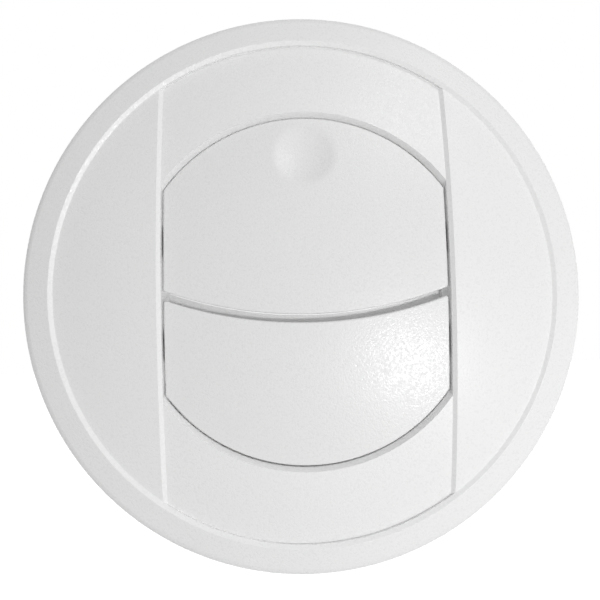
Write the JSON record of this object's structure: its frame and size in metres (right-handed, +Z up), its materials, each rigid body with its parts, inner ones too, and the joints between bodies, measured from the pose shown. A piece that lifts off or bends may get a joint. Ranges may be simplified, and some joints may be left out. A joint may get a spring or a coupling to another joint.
{
  "type": "round air vent",
  "caption": "Round wall vent with a crowned face, raised rim and sunk middle band; linked upper and lower flaps tilt to open or shut the air path, and a rear collar and spigot take the duct.",
  "frame": {"origin": "on the vent's axis, in the plane of the rim's back, which bears on the wall", "axes": "+Y along the duct, away from the room, so the face looks along -Y; +Z up, with the dimpled flap on top; +X to the right as seen from the room"},
  "size_m": [0.133, 0.0535, 0.133],
  "materials": {
    "housing_plastic": "fine moulded grain, satin white",
    "flap_plastic": "fine moulded grain, satin white",
    "link_plastic": "plain moulded, satin natural white"
  },
  "bodies": {
    "housing": {"housing": "housing_plastic"},
    "upper_flap": {"upper_flap": "flap_plastic"},
    "lower_flap": {"lower_flap": "flap_plastic"},
    "link_bar": {"link_bar": "link_plastic"}
  },
  "joints": [
    {"name": "upper_flap_tilt", "type": "hinge", "parent": "housing", "child": "upper_flap", "pos_m": [0, -0.0023, 0.012], "axis": [-1, 0, 0], "range_deg": [0, 80]},
    {"name": "lower_flap_tilt", "type": "hinge", "parent": "housing", "child": "lower_flap", "pos_m": [0, -0.0023, -0.012], "axis": [-1, 0, 0], "range_deg": [0, 80]},
    {"name": "link_bar_swing", "type": "hinge", "parent": "upper_flap", "child": "link_bar", "pos_m": [0, 0.00434, 0.02765], "axis": [-1, 0, 0], "range_deg": [-80, 0]}
  ],
  "couplings": [
    {"joint": "lower_flap_tilt", "follows": "upper_flap_tilt", "ratio": 1},
    {"joint": "link_bar_swing", "follows": "upper_flap_tilt", "ratio": -1}
  ]
}
